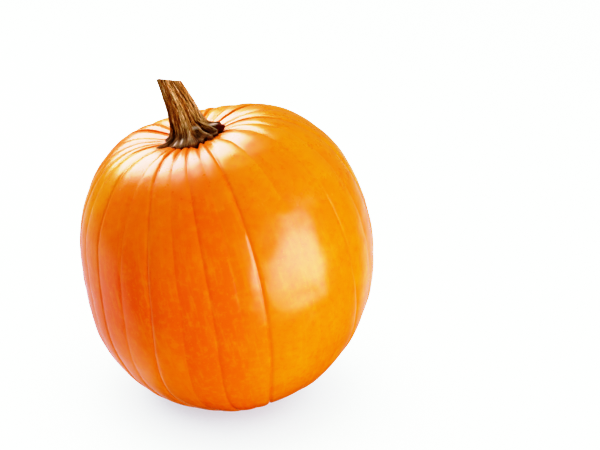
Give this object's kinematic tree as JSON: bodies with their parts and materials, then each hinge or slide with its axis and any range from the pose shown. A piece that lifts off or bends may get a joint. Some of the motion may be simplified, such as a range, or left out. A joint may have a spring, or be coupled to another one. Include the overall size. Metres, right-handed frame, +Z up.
{
  "type": "pumpkin",
  "caption": "Whole ripe orange pumpkin with ribbed skin and a dry woody stem, leaning a little on a small flat resting spot.",
  "frame": {"origin": "centre of the bounding box at ground height, below the fruit", "axes": "+Z up, the pumpkin's own axis leans 15 degrees from +Z toward -X, -Y is the front"},
  "size_m": [0.2192, 0.2202, 0.2515],
  "materials": {
    "skin": "waxy orange pumpkin rind, glossy, with fine pores and pale freckles",
    "stem_wood": "dry fibrous stem, matte brown with tan ridges and dark furrows"
  },
  "bodies": {
    "root": {"fruit": "skin", "stem": "stem_wood"}
  },
  "joints": []
}
